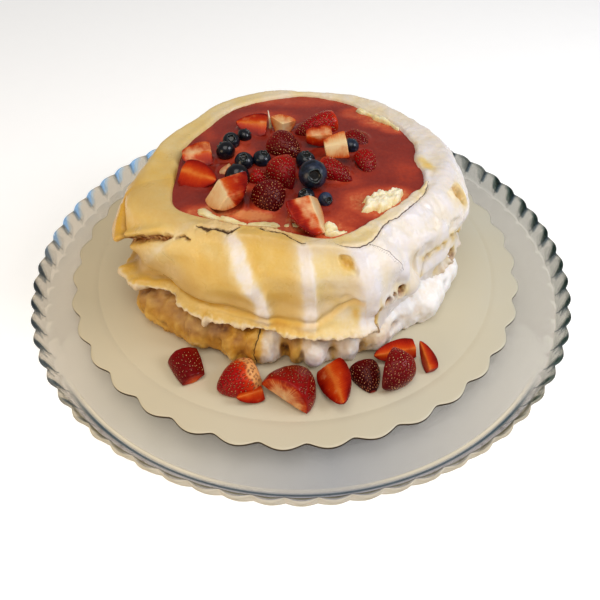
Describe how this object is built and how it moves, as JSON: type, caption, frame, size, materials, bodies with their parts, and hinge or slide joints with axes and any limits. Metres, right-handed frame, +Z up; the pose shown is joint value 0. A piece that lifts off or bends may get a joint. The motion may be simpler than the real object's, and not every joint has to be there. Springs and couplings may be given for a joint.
{
  "type": "pavlova",
  "caption": "Tall round layered meringue filled with cream and berry sauce and topped with cut strawberries and blueberries, on a scalloped card and a low glass plate.",
  "frame": {"origin": "on the table, under the centre of the glass plate", "axes": "+Z up, -Y is the front, where the loose strawberries lie on the card; +X to the right seen from the front"},
  "size_m": [0.3642, 0.3646, 0.1163],
  "materials": {
    "pressed_glass": "clear pressed soda-lime glass, fire polished, slightly green in its edge",
    "coated_card": "coated card, cream, satin, with a dark cut edge",
    "toasted_meringue": "baked meringue, golden brown, dry and matt",
    "pale_meringue": "baked meringue, white to gold, dry with a faint satin skin",
    "whipped_cream": "whipped cream, white to pale yellow, soft satin",
    "strawberry_sauce": "thick strawberry sauce, wet gloss",
    "strawberry": "strawberry, red glossy skin with seeds, orange to white cut faces",
    "blueberry": "blueberry, blue-black skin with a pale bloom"
  },
  "bodies": {
    "root": {"glass_plate": "pressed_glass", "cake_board": "coated_card", "meringue_base": "toasted_meringue", "meringue_top": "pale_meringue", "whipped_cream": "whipped_cream", "strawberry_sauce": "strawberry_sauce", "strawberry_top_01": "strawberry", "strawberry_top_02": "strawberry", "strawberry_top_03": "strawberry", "strawberry_top_04": "strawberry", "strawberry_top_05": "strawberry", "strawberry_top_06": "strawberry", "strawberry_top_07": "strawberry", "strawberry_top_08": "strawberry", "strawberry_top_09": "strawberry", "strawberry_top_10": "strawberry", "strawberry_top_11": "strawberry", "strawberry_top_12": "strawberry", "strawberry_top_13": "strawberry", "strawberry_top_14": "strawberry", "strawberry_top_15": "strawberry", "strawberry_top_16": "strawberry", "strawberry_top_17": "strawberry", "strawberry_board_1": "strawberry", "strawberry_board_2": "strawberry", "strawberry_board_3": "strawberry", "strawberry_board_4": "strawberry", "strawberry_board_5": "strawberry", "strawberry_board_6": "strawberry", "strawberry_board_7": "strawberry", "strawberry_board_8": "strawberry", "strawberry_board_9": "strawberry", "blueberry_01": "blueberry", "blueberry_02": "blueberry", "blueberry_03": "blueberry", "blueberry_04": "blueberry", "blueberry_05": "blueberry", "blueberry_06": "blueberry", "blueberry_07": "blueberry", "blueberry_08": "blueberry", "blueberry_09": "blueberry", "blueberry_10": "blueberry", "blueberry_11": "blueberry"}
  },
  "joints": []
}
